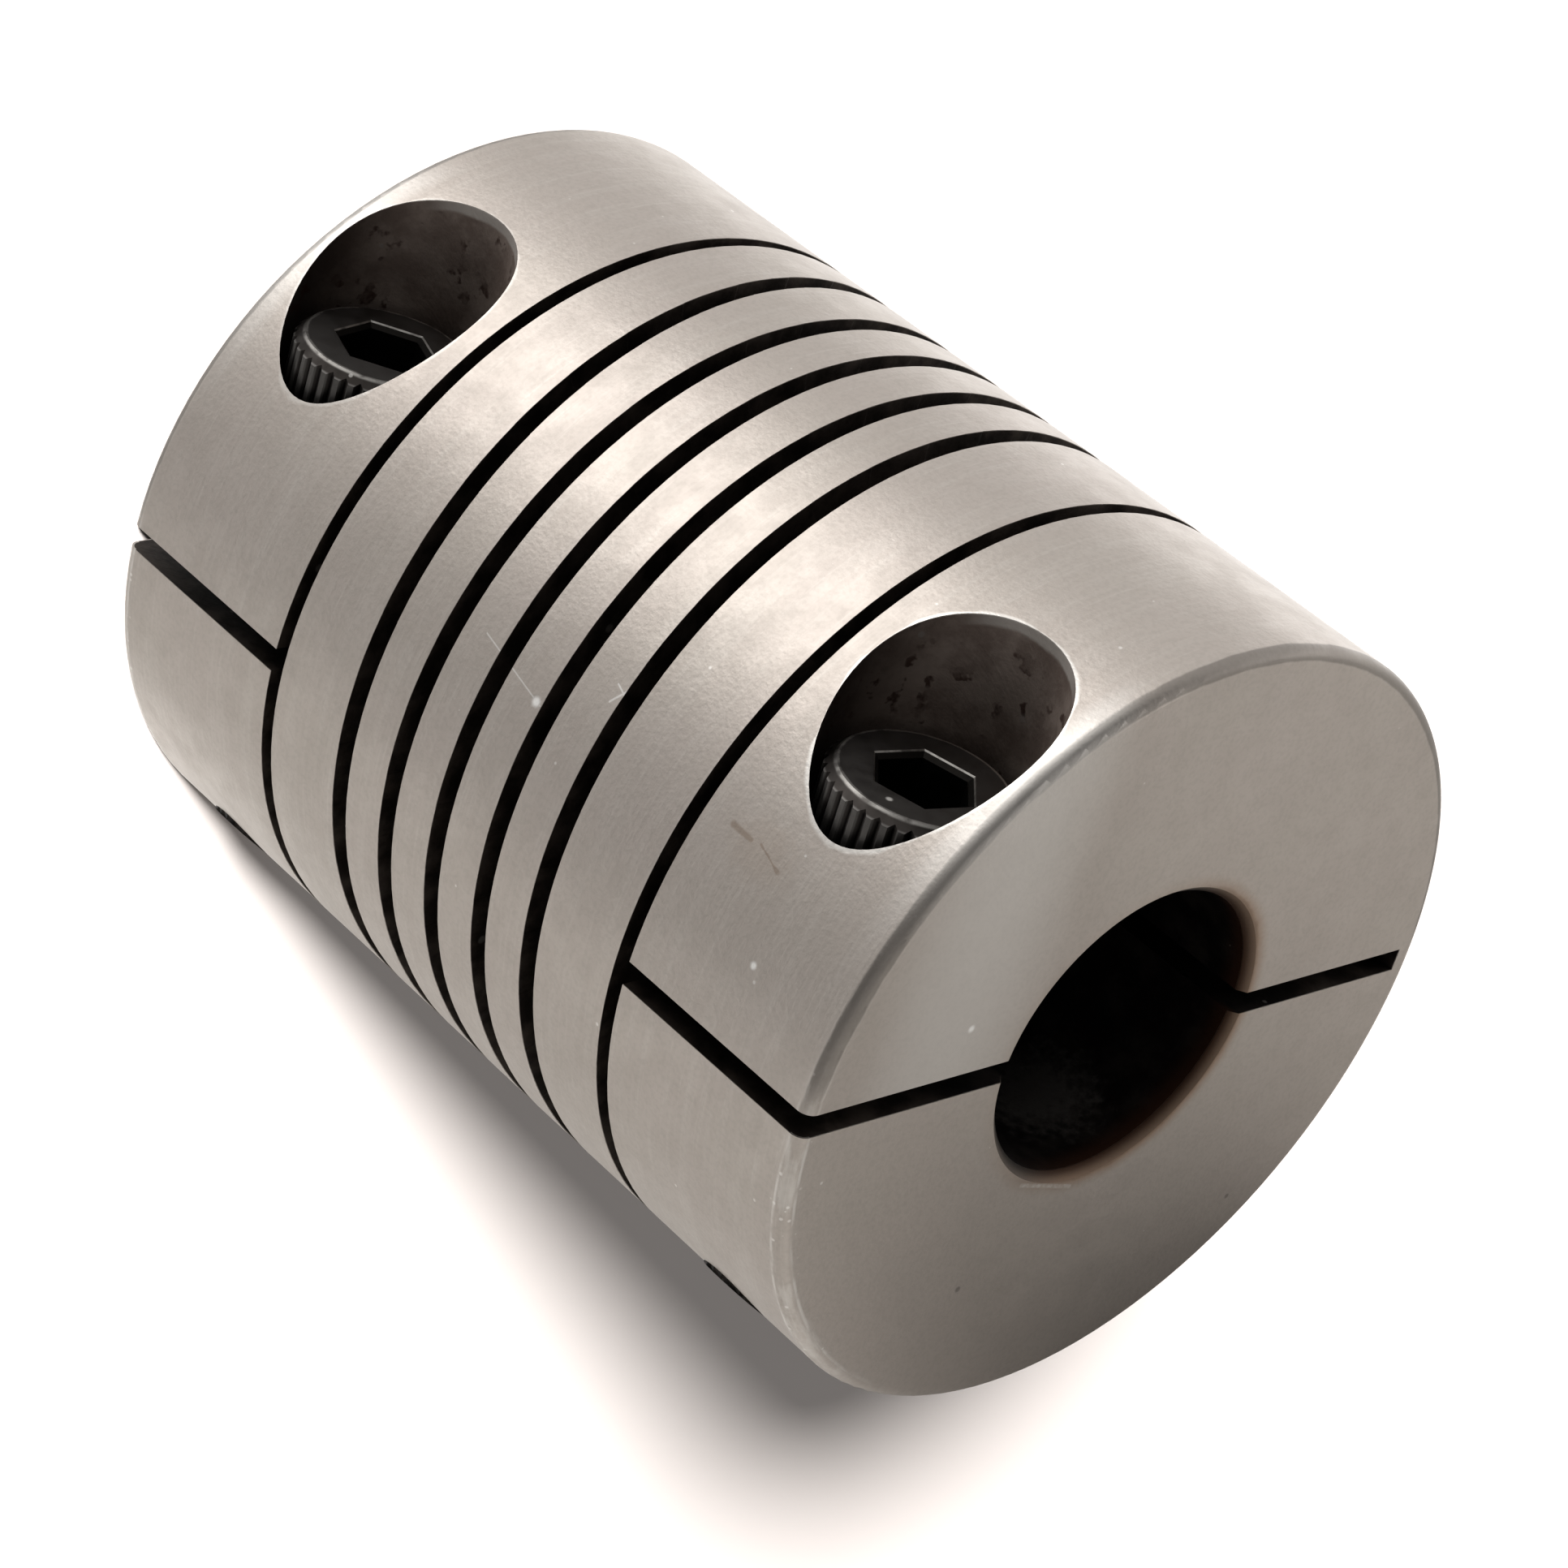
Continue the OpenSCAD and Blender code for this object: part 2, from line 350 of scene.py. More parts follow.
def make_scratch():
    """One fine scratch from start to end."""
    tree, given, result = new_group(
        "scratch",
        {"Position": (0.0, 0.0, 0.0), "Start": (0.0, 0.0, 0.0), "End": (0.0, 0.0, MM), "Width": 0.04 * MM},
        ["Mask"],
    )
    run = vector_calc(tree, "SUBTRACT", given["End"], given["Start"])
    away = vector_calc(tree, "SUBTRACT", given["Position"], given["Start"])
    share = calc(tree, "DIVIDE", vector_calc(tree, "DOT_PRODUCT", away, run),
                 vector_calc(tree, "DOT_PRODUCT", run, run))
    share = calc(tree, "MINIMUM", calc(tree, "MAXIMUM", share, 0.0), 1.0)
    nearest = add(tree, "ShaderNodeVectorMath", operation="SCALE")
    feed(tree, nearest.inputs[0], run)
    feed(tree, nearest.inputs["Scale"], share)
    gap = vector_calc(tree, "LENGTH", vector_calc(tree, "SUBTRACT", away, nearest.outputs[0]))
    feed(tree, result["Mask"], ramp(tree, calc(tree, "DIVIDE", gap, given["Width"]), 0.3, 1.0, 1.0, 0.0))
    return tree


PLACE = make_turned_place()
GRAIN = make_turned_grain()
SPECKS = make_specks()
SMUDGE = make_smudge()
SCRATCH = make_scratch()


def new_material(name):
    """A material with one Principled shader, and the object's own coordinates."""
    material = bpy.data.materials.new(name)
    material.use_nodes = True
    tree = material.node_tree
    return material, tree, tree.nodes["Principled BSDF"], add(tree, "ShaderNodeTexCoord").outputs["Object"]


def bump(tree, shader, height, distance):
    node = add(tree, "ShaderNodeBump")
    node.inputs["Strength"].default_value = 1.0
    node.inputs["Distance"].default_value = distance
    feed(tree, node.inputs["Height"], height)
    feed(tree, shader.inputs["Normal"], node.outputs[0])


def at_screw(tree, position):
    """A point's place about the nearer screw: across its axis in X and Z, how far from it, and along it."""
    at = split_axes(tree, position)
    from_middle = calc(tree, "ABSOLUTE", calc(tree, "SUBTRACT", at["Z"], HALF_LEN))
    across_x = calc(tree, "SUBTRACT", at["X"], SCREW_OFFSET)
    across_z = calc(tree, "SUBTRACT", HALF_LEN - SCREW_FROM_END, from_middle)
    return across_x, across_z, vector_calc(tree, "LENGTH", join_axes(tree, across_x, across_z)), at["Y"]


def on_bar(x, y, z):
    """A place on the coupling given in millimetres."""
    return (x * MM, y * MM, z * MM)


def scratch(tree, at, start, end, width):
    return use_group(tree, SCRATCH, Position=at.position, Start=on_bar(*start), End=on_bar(*end),
                     Width=width)["Mask"]


def smudge(tree, at, centre, size, raggedness):
    return use_group(tree, SMUDGE, Position=at.position, Noise=at.fine, Centre=on_bar(*centre),
                     Size=on_bar(*size), Raggedness=raggedness)["Mask"]


def specks(tree, at, scale, size, share):
    return use_group(tree, SPECKS, Position=at.position, Scale=scale, Size=size, Share=share)["Mask"]


# Satin stainless steel of the body

def steel_places(tree, position):
    """The places and noises that the parts of the steel's finish share."""
    place = use_group(tree, PLACE, Position=position)
    axes = split_axes(tree, position)
    across_x, across_z, from_screw, along_screw = at_screw(tree, position)
    from_middle = calc(tree, "ABSOLUTE", calc(tree, "SUBTRACT", place["Height"], HALF_LEN))
    outward = add(tree, "ShaderNodeVectorMath", operation="NORMALIZE")
    feed(tree, outward.inputs[0], vector_calc(tree, "MULTIPLY", position, (1.0, 1.0, 0.0)))
    return SimpleNamespace(
        position=position,
        x=axes["X"],
        y=axes["Y"],
        radius=place["Radius"],
        height=place["Height"],
        depth=place["Depth"],
        on_end_face=place["On end face"],
        on_rim=place["On rim"],
        on_side=calc(tree, "SUBTRACT", 1.0, calc(tree, "MULTIPLY", place["On end face"], 0.8)),
        from_end=calc(tree, "SUBTRACT", HALF_LEN, from_middle),
        past_mouth=calc(tree, "SUBTRACT", place["Radius"], MOUTH_R),
        stained_side=vector_calc(tree, "DOT_PRODUCT", outward.outputs[0], STAINED_SIDE),
        across_x=across_x,
        across_z=across_z,
        along_screw=along_screw,
        past_counterbore=calc(tree, "SUBTRACT", from_screw, COUNTERBORE_R),
        grain=use_group(tree, GRAIN, Position=position)["Grain"],
        mottle=noise(tree, position, 900.0, detail=4.0),
        blasted=noise(tree, position, 6500.0, detail=2.0),
        fine=noise(tree, position, 3500.0, detail=4.0),
    )


def satin_skin(tree, at):
    """Turned and blasted skin, with faint hoops on the side."""
    drift = noise(tree, at.position, 190.0, detail=2.0)
    hoops = use_group(tree, GRAIN, Position=at.position, Around=90.0, Across=2600.0)["Grain"]
    colour = blend_colour(tree, ramp(tree, drift, 0.3, 0.7), SKIN, SKIN_DRIFTED)
    colour = blend_colour(tree, ramp(tree, at.mottle, 0.35, 0.75, 0.0, 0.22), colour, SKIN_MOTTLED)
    hoop_streaks = all_of(tree, ramp(tree, hoops, 0.45, 0.75, 0.0, 0.35), at.on_side)
    colour = blend_colour(tree, hoop_streaks, colour, SKIN_HOOPS)
    grain_streaks = all_of(tree, ramp(tree, at.grain, 0.5, 0.8, 0.0, 0.4), at.on_side)
    colour = blend_colour(tree, grain_streaks, colour, SKIN_GRAIN)
    return blend_colour(tree, ramp(tree, at.blasted, 0.4, 0.7, 0.0, 0.3), colour, SKIN_BLASTED)


def rim_wear_and_painted_light(tree, at, colour):
    """Rounded rims: a faint painted dark reflection on the screws' side, rubbed pale past the slit, with
    painted highlights along both rim edges there.
    """
    rim_edge = around_half(tree, at.mottle, 0.3, at.on_rim)
    # Painted dark reflection on the rim, on the screws' side
    painted_rim_reflection = all_of(tree, ramp(tree, rim_edge, 0.0, 0.2), ramp(tree, at.y, -1.5 * MM, 0.0, 1.0, 0.0), 0.7)
    colour = blend_colour(tree, painted_rim_reflection, colour, RIM_PAINTED_DARK_REFLECTION)

    past_slit = all_of(tree, ramp(tree, at.x, 5.0 * MM, 9.0 * MM),
                       ramp(tree, at.y, -2.5 * MM, 1.0 * MM, 0.1, 1.0))
    streaks = use_group(tree, GRAIN, Position=at.position, Around=700.0, Across=6500.0)["Grain"]
    rubbed = all_of(tree, ramp(tree, streaks, 0.46, 0.66), ramp(tree, at.on_rim, -0.6, 0.1), past_slit, 0.5)
    colour = blend_colour(tree, rubbed, colour, RUBBED_RIM)
    # Past the slit, rubbed wear and a painted highlight along both edges of the rim
    edge_wear_and_highlight = any_of(tree, band(tree, at.on_rim, -0.12, 0.10, 0.08),
                        band(tree, at.on_rim, 0.72, 1.1, 0.08))
    edge_wear_and_highlight = all_of(tree, edge_wear_and_highlight, past_slit, ramp(tree, at.mottle, 0.40, 0.58, 0.1, 0.6))
    colour = blend_colour(tree, edge_wear_and_highlight, colour, RUBBED_RIM_EDGE_HIGHLIGHT)
    flecks = all_of(tree, specks(tree, at, 4600.0, 0.42, 0.22), ramp(tree, at.on_rim, -0.8, 0.0),
                    past_slit, 0.6)
    return blend_colour(tree, flecks, colour, PALE_FLECK)


def burnished_lip_highlights(tree, at, colour):
    """Burnished edge round each counterbore with a painted highlight, fainter at the lower clamp. Gives the
    colour and the mask.
    """
    head_side = calc(tree, "LESS_THAN", at.along_screw, 0.0)
    uneven = noise(tree, at.position, 520.0, detail=3.0)
    width = ramp(tree, uneven, 0.35, 0.65, 0.015 * MM, 0.10 * MM)
    lip_highlight = all_of(tree, ramp(tree, calc(tree, "DIVIDE", at.past_counterbore, width), 0.4, 1.4, 0.9, 0.0),
                 head_side, ramp(tree, uneven, 0.38, 0.55, 0.3, 1.0),
                 ramp(tree, at.height, 0.3 * BODY_LEN, 0.6 * BODY_LEN, 0.5, 1.0))
    colour = blend_colour(tree, lip_highlight, colour, BURNISHED_LIP_HIGHLIGHT)
    # Painted highlight on the thin band of skin that is left between a counterbore and the end face
    strip_highlight = all_of(tree, head_side, ramp(tree, at.past_counterbore, 0.2 * MM, 2.2 * MM, 0.5, 0.0),
                   ramp(tree, at.across_z, -3.2 * MM, -2.4 * MM, 1.0, 0.0))
    return blend_colour(tree, strip_highlight, colour, THIN_STRIP_HIGHLIGHT), lip_highlight


def marks_and_painted_glints(tree, at, colour):
    """Scratches, dots, brown marks, pits and painted glints. Gives the colour and the mask of the larger
    marks.
    """
    pale = [all_of(tree, scratch(tree, at, start, end, width * MM), strength)
            for start, end, width, strength in PALE_SCRATCHES]
    pale += [smudge(tree, at, centre, (size, size, size), 0.5) for centre, size in PALE_DOTS]
    pale = any_of(tree, *pale)
    colour = blend_colour(tree, pale, colour, PALE_MARK)

    brown = []
    for start, end, width in BROWN_STREAKS:
        ragged = around_half(tree, at.mottle, 0.5 * MM, width * MM)
        brown.append(scratch(tree, at, start, end, calc(tree, "MAXIMUM", ragged, 0.01 * MM)))
    brown = any_of(tree, *brown)
    colour = blend_colour(tree, all_of(tree, brown, 0.38), colour, BROWN_MARK)
    tint = all_of(tree, smudge(tree, at, *BROWN_TINT_PLACE, 0.8), 0.30)
    colour = blend_colour(tree, tint, colour, BROWN_TINT)

    colour = blend_colour(tree, all_of(tree, specks(tree, at, 620.0, 0.09, 0.25), 0.5), colour, DARK_PIT)
    # Painted glints: tiny painted highlights
    colour = blend_colour(tree, all_of(tree, specks(tree, at, 900.0, 0.075, 0.35), 0.6), colour, GLINT)
    return colour, any_of(tree, pale, brown)


def stained_and_shaded_mouth(tree, at, colour):
    """Brown staining on the bore's chamfered mouth and just outside it, most of it away from the screws, with
    painted shade on the chamfer, darkest at the bore, and a painted highlight along its outer edge.

    Gives the colour, the mask of the staining and the chamfer's painted shade, and the mask of the chamfer.
    """
    under_mouth = calc(tree, "ADD", at.past_mouth, at.from_end)
    on_chamfer = all_of(tree, ramp(tree, under_mouth, 0.012 * MM, 0.03 * MM, 1.0, 0.0),
                        ramp(tree, at.past_mouth, 0.0, 0.01 * MM, 1.0, 0.0))
    creep = around_half(tree, at.mottle, 0.3 * MM, at.past_mouth)
    halo = all_of(tree, ramp(tree, creep, -0.02 * MM, 0.55 * MM, 0.85, 0.0),
                  any_of(tree, on_chamfer, at.on_end_face),
                  ramp(tree, at.stained_side, -0.75, 0.6, 0.15, 1.0))
    colour = blend_colour(tree, halo, colour, STAIN_HALO)

    # Painted shade across the chamfer, darkest at the bore, with brown staining on one side
    across_chamfer = ramp(tree, at.past_mouth, BORE_R - MOUTH_R, 0.03 * MM)
    chamfer_stain_and_shade = blend_colour(tree, ramp(tree, at.stained_side, -0.3, 0.3),
                                  blend_colour(tree, across_chamfer, *CLEAN_CHAMFER_SHADE),
                                  blend_colour(tree, across_chamfer, *STAINED_CHAMFER_SHADE))
    crept_out = all_of(tree, ramp(tree, creep, 0.0, 0.15 * MM, 0.8, 0.0), at.on_end_face,
                       ramp(tree, at.stained_side, -0.3, 0.4))
    stain_and_shade = any_of(tree, on_chamfer, crept_out)
    colour = blend_colour(tree, stain_and_shade, colour, chamfer_stain_and_shade)

    # Painted highlight along the chamfer's outer edge
    start, end, width = CHAMFER_EDGE_HIGHLIGHT_PLACE
    edge_highlight = all_of(tree, scratch(tree, at, start, end, width * MM),
                         ramp(tree, at.blasted, 0.35, 0.65, 0.25, 0.75))
    return blend_colour(tree, edge_highlight, colour, CHAMFER_EDGE_HIGHLIGHT), stain_and_shade, on_chamfer


def counterbore_wall(tree, at):
    """Patchy bored wall: dented, with painted shade towards the rim of the body, and bright in a crescent at
    its edge.
    """
    patchy = noise(tree, at.position, 420.0, detail=5.0, roughness=0.65)
    colour = blend_colour(tree, ramp(tree, patchy, 0.38, 0.62), *COUNTERBORE_WALL)
    shaded = ramp(tree, at.across_x, -2.0 * MM, 1.2 * MM, 0.0, 0.90)
    colour = blend_colour(tree, shaded, colour, COUNTERBORE_SHADE)
    dents = all_of(tree, ramp(tree, noise(tree, at.position, 1500.0, detail=3.0), 0.56, 0.64),
                   ramp(tree, patchy, 0.44, 0.56), 0.85)
    colour = blend_colour(tree, dents, colour, COUNTERBORE_DENT)
    ragged_depth = calc(tree, "MULTIPLY_ADD", patchy, 0.35 * MM, at.depth)
    crescent = all_of(tree, ramp(tree, at.across_x, -2.9 * MM, -2.0 * MM, 1.0, 0.0),
                      ramp(tree, ragged_depth, 0.40 * MM, 0.52 * MM, 1.0, 0.0))
    return blend_colour(tree, crescent, colour, COUNTERBORE_CRESCENT)


def walls_in_painted_shade(tree, at, on_chamfer):
    """Walls of slots, slits, bore and counterbores, the bore and slot walls in painted shade. Gives their
    colour and the mask of where they are.
    """
    # The rounded rim's facets lie a little under its true curve, so there a wall starts deeper
    skin_depth = ramp(tree, at.on_rim, -0.05, 0.0, 0.008 * MM, 0.05 * MM)
    wall = ramp(tree, calc(tree, "SUBTRACT", at.depth, skin_depth), 0.0, 0.03 * MM)
    wall = all_of(tree, wall, calc(tree, "SUBTRACT", 1.0, on_chamfer))

    # Painted shade: near-black bore and slot walls, with a little random tone
    bore = blend_colour(tree, ramp(tree, at.mottle, 0.4, 0.7), *BORE_WALL_SHADE)
    slot = blend_colour(tree, ramp(tree, at.mottle, 0.35, 0.7), *SLOT_WALL_SHADE)
    colour = blend_colour(tree, ramp(tree, at.radius, 6.0 * MM, 9.0 * MM), bore, slot)
    patch = all_of(tree, smudge(tree, at, *BORE_PATCH_PLACE, 1.2), 0.8)
    colour = blend_colour(tree, patch, colour, BORE_PATCH)
    rusty = all_of(tree, ramp(tree, at.past_mouth, -0.15 * MM, 0.0, 1.0, 0.0),
                   ramp(tree, at.from_end, 0.25 * MM, 1.1 * MM, 1.0, 0.0),
                   ramp(tree, at.stained_side, -0.3, 0.5))
    colour = blend_colour(tree, rusty, colour, RUSTY_WALL)
    in_counterbore = all_of(tree, ramp(tree, at.past_counterbore, 0.02 * MM, 0.06 * MM, 1.0, 0.0),
                            ramp(tree, at.along_screw, -HEAD_SEAT, -HEAD_SEAT + 0.1 * MM, 1.0, 0.0))
    colour = blend_colour(tree, in_counterbore, colour, counterbore_wall(tree, at))
    dust = all_of(tree, specks(tree, at, 1100.0, 0.3, 0.06), 0.5)
    return blend_colour(tree, dust, colour, WALL_DUST), wall


def make_satin_steel():
    """Satin turned stainless steel, with rubbed rims and a painted dark reflection on them, painted
    highlights on counterbore edges and glints, a stained bore mouth with painted shade on its chamfer, and
    painted shade on the walls inside its cuts.
    """
    material, tree, shader, position = new_material("satin_stainless_steel")
    at = steel_places(tree, position)
    colour = rim_wear_and_painted_light(tree, at, satin_skin(tree, at))
    colour, lip_highlight = burnished_lip_highlights(tree, at, colour)
    colour, marks = marks_and_painted_glints(tree, at, colour)
    colour, stain_and_shade, on_chamfer = stained_and_shaded_mouth(tree, at, colour)
    wall_shade_colour, wall = walls_in_painted_shade(tree, at, on_chamfer)
    feed(tree, shader.inputs["Base Color"], blend_colour(tree, wall, colour, wall_shade_colour))

    rough = ramp(tree, at.mottle, 0.3, 0.7, 0.43, 0.50)
    rough = blend_value(tree, lip_highlight, rough, 0.38)
    rough = blend_value(tree, any_of(tree, stain_and_shade, marks), rough, 0.7)
    feed(tree, shader.inputs["Roughness"], blend_value(tree, wall, rough, 0.6))
    shader.inputs["Metallic"].default_value = 1.0
    shader.inputs["Anisotropic"].default_value = 0.35
    shader.inputs["Anisotropic Rotation"].default_value = 0.25
    tangent = add(tree, "ShaderNodeTangent", direction_type="RADIAL", axis="Z")
    feed(tree, shader.inputs["Tangent"], tangent.outputs[0])
    relief = calc(tree, "MULTIPLY_ADD", at.blasted, 1.5, all_of(tree, at.grain, at.on_side))
    bump(tree, shader, relief, 0.006 * MM)
    return material


# Black cap screws

def make_black_screw():
    """Black oxide on the cap screws, rubbed to bare steel with a painted highlight along the edges of the
    head, with painted shade in its grooves and socket, dusty in places.
    """
    material, tree, shader, position = new_material("black_oxide_screw")
    across_x, across_z, from_axis, along_screw = at_screw(tree, position)
    at = SimpleNamespace(position=position, fine=noise(tree, position, 3500.0, detail=4.0))
    height = calc(tree, "MULTIPLY", along_screw, -1.0)
    mottle = noise(tree, position, 1400.0, detail=4.0)
    cloud = noise(tree, position, 500.0, detail=3.0)
    colour = blend_colour(tree, ramp(tree, cloud, 0.35, 0.7), *BLACK_OXIDE)

    near_top = ramp(tree, height, HEAD_TOP - 0.05 * MM, HEAD_TOP - 0.01 * MM)
    on_head = ramp(tree, height, HEAD_SEAT, HEAD_SEAT + 0.05 * MM)
    top_face = all_of(tree, near_top, ramp(tree, mottle, 0.3, 0.6, 0.5, 1.0))
    colour = blend_colour(tree, top_face, colour, HEAD_FACE)
    lands = all_of(tree, ramp(tree, from_axis, HEAD_R - 0.06 * MM, HEAD_R - 0.02 * MM), on_head, 0.7)
    colour = blend_colour(tree, lands, colour, KNURL_LAND)
    # Painted shade in the knurl's grooves
    grooves = all_of(tree, band(tree, from_axis, HEAD_R - 0.16 * MM, HEAD_R - 0.09 * MM, 0.02 * MM), on_head,
                     ramp(tree, height, HEAD_TOP - 0.35 * MM, HEAD_TOP - 0.25 * MM, 1.0, 0.0))
    colour = blend_colour(tree, grooves, colour, KNURL_GROOVE_SHADE)
    # Painted shade inside the hex socket
    in_socket = all_of(tree, ramp(tree, from_axis, SOCKET_MOUTH_R, SOCKET_MOUTH_R + 0.04 * MM, 1.0, 0.0),
                       ramp(tree, height, HEAD_TOP - 0.05 * MM, HEAD_TOP - 0.03 * MM, 1.0, 0.0))
    colour = blend_colour(tree, in_socket, colour, SOCKET_SHADE)

    # Bare steel with a painted highlight along the head's bevel and round the socket's mouth
    ragged_edge = around_half(tree, mottle, 0.10 * MM, from_axis)
    bevel = all_of(tree, band(tree, ragged_edge, *WORN_LIT_BEVEL, 0.03 * MM),
                   ramp(tree, height, HEAD_TOP - 0.12 * MM, HEAD_TOP - 0.04 * MM))
    mouth = all_of(tree, band(tree, height, HEAD_TOP - 0.045 * MM, HEAD_TOP - 0.004 * MM, 0.003 * MM),
                   ramp(tree, from_axis, SOCKET_MOUTH_R, SOCKET_MOUTH_R + 0.06 * MM, 1.0, 0.0))
    bare_and_lit = all_of(tree, any_of(tree, bevel, mouth), ramp(tree, mottle, 0.35, 0.55, 0.2, 0.9))
    colour = blend_colour(tree, bare_and_lit, colour, WORN_EDGE_HIGHLIGHT)
    dust = all_of(tree, specks(tree, at, 1500.0, 0.35, 0.06), 0.5)
    dust = any_of(tree, dust, smudge(tree, at, *HEAD_GRIT_PLACE, 0.5))
    colour = blend_colour(tree, dust, colour, SCREW_DUST)

    feed(tree, shader.inputs["Base Color"], colour)
    shader.inputs["Metallic"].default_value = 1.0
    rough = blend_value(tree, bare_and_lit, ramp(tree, mottle, 0.3, 0.7, 0.42, 0.55), 0.35)
    feed(tree, shader.inputs["Roughness"], rough)

    # Rolled thread on the shank, turning with the height along the screw
    turn = calc(tree, "DIVIDE", calc(tree, "ARCTAN2", across_x, across_z), math.tau)
    rise = calc(tree, "ADD", calc(tree, "DIVIDE", along_screw, THREAD_PITCH), turn)
    shank = all_of(tree, calc(tree, "SUBTRACT", 1.0, on_head),
                   ramp(tree, from_axis, SCREW_R - 0.45 * MM, SCREW_R - 0.3 * MM))
    threads = all_of(tree, shank, calc(tree, "PINGPONG", rise, 0.5))
    bump(tree, shader, calc(tree, "MULTIPLY_ADD", threads, 25.0, mottle), 0.008 * MM)
    return material


def make_threaded_steel():
    """Freshly cut steel of the internal threads, with painted shade in the roots."""
    material, tree, shader, position = new_material("threaded_steel")
    from_axis = at_screw(tree, position)[2]
    mottle = noise(tree, position, 1500.0, detail=3.0)
    # Painted shade: darker from the crests into the roots
    colour = blend_colour(tree, ramp(tree, from_axis, THREAD_CREST_R, TAPPED_HOLE_R),
                          (0.36, 0.325, 0.295, 1.0), (0.06, 0.052, 0.046, 1.0))
    colour = blend_colour(tree, ramp(tree, mottle, 0.4, 0.7, 0.0, 0.5), colour, (0.10, 0.088, 0.078, 1.0))
    feed(tree, shader.inputs["Base Color"], colour)
    shader.inputs["Metallic"].default_value = 1.0
    feed(tree, shader.inputs["Roughness"], ramp(tree, mottle, 0.3, 0.7, 0.35, 0.5))
    bump(tree, shader, mottle, 0.004 * MM)
    return material


STEEL = make_satin_steel()
BLACK = make_black_screw()
THREADED = make_threaded_steel()
for name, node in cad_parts.items():
    node.data.materials.clear()
    node.data.materials.append(STEEL if name == "coupling_body" else BLACK)


# Thread ridges inside the open end of each tapped hole

def make_thread_tree():
    """One thread ridge: a coil of a four-sided bar, turned to lie along Y and sunk into its hole's wall."""
    tree = bpy.data.node_groups.new("thread_ridge", "GeometryNodeTree")
    sizes = {"Wall radius": TAPPED_HOLE_R, "Crest radius": THREAD_CREST_R, "Pitch": THREAD_PITCH,
             "Turns": THREAD_TURNS, "Start": THREAD_START, "Body radius": BODY_R}
    for label, value in sizes.items():
        socket = tree.interface.new_socket(label, in_out="INPUT", socket_type="NodeSocketFloat")
        socket.default_value = value
    place = tree.interface.new_socket("Place", in_out="INPUT", socket_type="NodeSocketVector")
    place.default_value = (0.0, 0.0, 0.0)
    tree.interface.new_socket("Material", in_out="INPUT", socket_type="NodeSocketMaterial")
    tree.interface.new_socket("Geometry", in_out="OUTPUT", socket_type="NodeSocketGeometry")
    given = add(tree, "NodeGroupInput").outputs

    coil = add(tree, "GeometryNodeCurveSpiral")
    coil.inputs["Resolution"].default_value = 28
    feed(tree, coil.inputs["Rotations"], given["Turns"])
    feed(tree, coil.inputs["Start Radius"], given["Wall radius"])
    feed(tree, coil.inputs["End Radius"], given["Wall radius"])
    feed(tree, coil.inputs["Height"], calc(tree, "MULTIPLY", given["Turns"], given["Pitch"]))
    upright = add(tree, "GeometryNodeSetCurveNormal", mode="Z_UP")
    feed(tree, upright.inputs["Curve"], coil.outputs[0])

    bar = add(tree, "GeometryNodeCurvePrimitiveCircle")
    bar.inputs["Resolution"].default_value = 4
    bar.inputs["Radius"].default_value = 1.0
    ridge_depth = calc(tree, "SUBTRACT", given["Wall radius"], given["Crest radius"])
    half_width = calc(tree, "MULTIPLY", given["Pitch"], THREAD_HALF_WIDTH)
    sized = add(tree, "GeometryNodeTransform")
    feed(tree, sized.inputs["Geometry"], bar.outputs[0])
    feed(tree, sized.inputs["Scale"], join_axes(tree, ridge_depth, half_width, 1.0))

    swept = add(tree, "GeometryNodeCurveToMesh")
    feed(tree, swept.inputs["Curve"], upright.outputs[0])
    feed(tree, swept.inputs["Profile Curve"], sized.outputs[0])
    swept.inputs["Fill Caps"].default_value = True

    # Where the ridge would come out of the turned side, it sinks into the steel round the hole
    at = split_axes(tree, add(tree, "GeometryNodeInputPosition").outputs[0])
    centre = split_axes(tree, given["Place"])
    across = calc(tree, "ADD", at["Y"], centre["X"])
    squared = calc(tree, "MULTIPLY", given["Body radius"], given["Body radius"])
    chord = calc(tree, "SQRT", calc(tree, "SUBTRACT", squared, calc(tree, "MULTIPLY", across, across)))
    skin = calc(tree, "SUBTRACT", calc(tree, "SUBTRACT", chord, THREAD_END_DEPTH), given["Start"])
    sinks = ramp(tree, calc(tree, "SUBTRACT", at["Z"], skin), -THREAD_SINK_RUN, 0.0, smooth=False)
    along = calc(tree, "MINIMUM", at["Z"], skin)
    out = vector_calc(tree, "LENGTH", join_axes(tree, at["X"], at["Y"]))
    sunk = calc(tree, "MAXIMUM", out, calc(tree, "ADD", given["Wall radius"], THREAD_SUNK_DEPTH))
    grow = calc(tree, "DIVIDE", blend_value(tree, sinks, out, sunk), out)
    # The coil stands along Z, so its X, Y and Z become Z, X and Y
    placed = join_axes(tree, calc(tree, "MULTIPLY_ADD", at["Y"], grow, centre["X"]),
                       calc(tree, "ADD", along, given["Start"]),
                       calc(tree, "MULTIPLY_ADD", at["X"], grow, centre["Z"]))
    moved = add(tree, "GeometryNodeSetPosition")
    feed(tree, moved.inputs["Geometry"], swept.outputs[0])
    feed(tree, moved.inputs["Position"], placed)

    finish = add(tree, "GeometryNodeSetMaterial")
    feed(tree, finish.inputs["Geometry"], moved.outputs[0])
    feed(tree, finish.inputs["Material"], given["Material"])
    real = add(tree, "GeometryNodeRealizeInstances")
    feed(tree, real.inputs[0], finish.outputs[0])
    feed(tree, add(tree, "NodeGroupOutput").inputs[0], real.outputs[0])
    return tree


